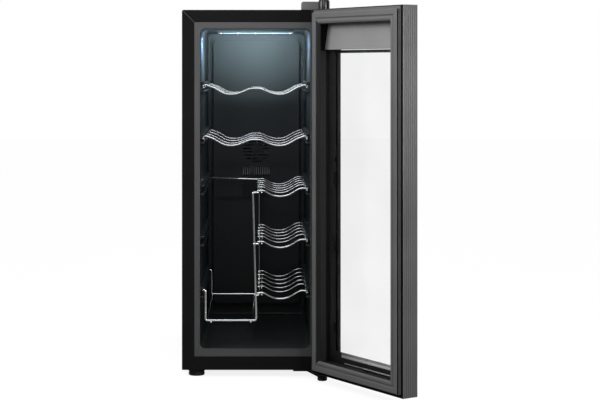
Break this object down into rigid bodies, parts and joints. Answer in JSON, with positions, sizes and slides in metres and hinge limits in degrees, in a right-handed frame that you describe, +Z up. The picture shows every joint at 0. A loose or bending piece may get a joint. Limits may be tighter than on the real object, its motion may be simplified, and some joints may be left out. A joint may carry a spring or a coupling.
{
  "type": "wine cooler",
  "caption": "Slim free-standing thermoelectric wine cooler with a hinged double-glazed door, sliding wave wire shelves, a standing-bottle rack and a light bar.",
  "frame": {"origin": "on the floor, under the centre of the whole part's box with its door open as modelled", "axes": "+Z up; +X to the right as one faces the door opening; +Y from the front to the back"},
  "size_m": [0.3826, 0.715, 0.6493],
  "materials": {
    "black_steel": "satin",
    "black_plastic": "satin",
    "rim_plastic": "satin",
    "liner_plastic": "gloss",
    "grey_plastic": "satin",
    "rubber": "matte",
    "foam": "matte",
    "zinc_steel": "satin",
    "aluminium": "satin",
    "chrome_wire": "polished",
    "clear_glass": "gloss",
    "white_lens": "satin",
    "circuit_board": "satin",
    "module_ceramic": "matte"
  },
  "bodies": {
    "cabinet": {"cabinet_shell": "black_steel", "bottom_pan": "black_steel", "rear_panel": "black_steel", "bottom_hinge_bracket": "black_steel", "fan_grille": "black_plastic", "cold_fan_frame": "black_plastic", "hot_fan_frame": "black_plastic", "light_housing": "black_plastic", "sensor_clip": "black_plastic", "power_inlet": "black_plastic", "top_hinge_cover": "black_plastic", "top_hinge_cap": "black_plastic", "mouth_rim": "rim_plastic", "inner_liner": "liner_plastic", "duct_cover": "liner_plastic", "foot_front_left": "rubber", "foot_rear_left": "rubber", "foot_rear_right": "rubber", "hinge_foot": "rubber", "foam_insulation": "foam", "compartment_wall": "zinc_steel", "top_hinge_plate": "zinc_steel", "top_hinge_pin": "zinc_steel", "bottom_hinge_pin": "zinc_steel", "top_hinge_screw_1": "zinc_steel", "top_hinge_screw_2": "zinc_steel", "top_hinge_screw_3": "zinc_steel", "bottom_hinge_screw_1": "zinc_steel", "bottom_hinge_screw_2": "zinc_steel", "rear_panel_screw_1": "zinc_steel", "rear_panel_screw_2": "zinc_steel", "rear_panel_screw_3": "zinc_steel", "rear_panel_screw_4": "zinc_steel", "cold_heat_sink": "aluminium", "cold_block": "aluminium", "hot_heat_sink": "aluminium", "bottle_rack": "chrome_wire", "light_lens": "white_lens", "light_board": "circuit_board", "power_board": "circuit_board", "peltier_module": "module_ceramic"},
    "door": {"door_frame": "black_plastic", "door_gasket": "rubber", "outer_glass": "clear_glass", "inner_glass": "clear_glass", "glass_spacer": "black_plastic", "control_housing": "grey_plastic", "control_board": "circuit_board", "door_bush_top": "black_plastic", "door_bush_bottom": "black_plastic"},
    "full_shelf_upper": {"full_shelf_upper": "chrome_wire"},
    "full_shelf_lower": {"full_shelf_lower": "chrome_wire"},
    "half_shelf_upper": {"half_shelf_upper": "chrome_wire"},
    "half_shelf_middle": {"half_shelf_middle": "chrome_wire"},
    "half_shelf_lower": {"half_shelf_lower": "chrome_wire"},
    "cold_fan": {"cold_fan_rotor": "black_plastic"},
    "hot_fan": {"hot_fan_rotor": "black_plastic"}
  },
  "joints": [
    {"name": "door_hinge", "type": "hinge", "parent": "cabinet", "child": "door", "pos_m": [0.05192, -0.14258, 0.3219], "axis": [0, 0, 1], "range_deg": [-122.8, 12.2]},
    {"name": "full_shelf_upper_slide", "type": "slide", "parent": "cabinet", "child": "full_shelf_upper", "axis": [0, -1, 0], "range_m": [0, 0.25]},
    {"name": "full_shelf_lower_slide", "type": "slide", "parent": "cabinet", "child": "full_shelf_lower", "axis": [0, -1, 0], "range_m": [0, 0.25]},
    {"name": "half_shelf_upper_slide", "type": "slide", "parent": "cabinet", "child": "half_shelf_upper", "axis": [0, -1, 0], "range_m": [0, 0.25]},
    {"name": "half_shelf_middle_slide", "type": "slide", "parent": "cabinet", "child": "half_shelf_middle", "axis": [0, -1, 0], "range_m": [0, 0.25]},
    {"name": "half_shelf_lower_slide", "type": "slide", "parent": "cabinet", "child": "half_shelf_lower", "axis": [0, -1, 0], "range_m": [0, 0.25]},
    {"name": "cold_fan_spin", "type": "hinge", "parent": "cabinet", "child": "cold_fan", "pos_m": [-0.06527, 0.2466, 0.3724], "axis": [0, 1, 0], "continuous": true},
    {"name": "hot_fan_spin", "type": "hinge", "parent": "cabinet", "child": "hot_fan", "pos_m": [-0.06527, 0.3164, 0.3724], "axis": [0, 1, 0], "continuous": true}
  ]
}
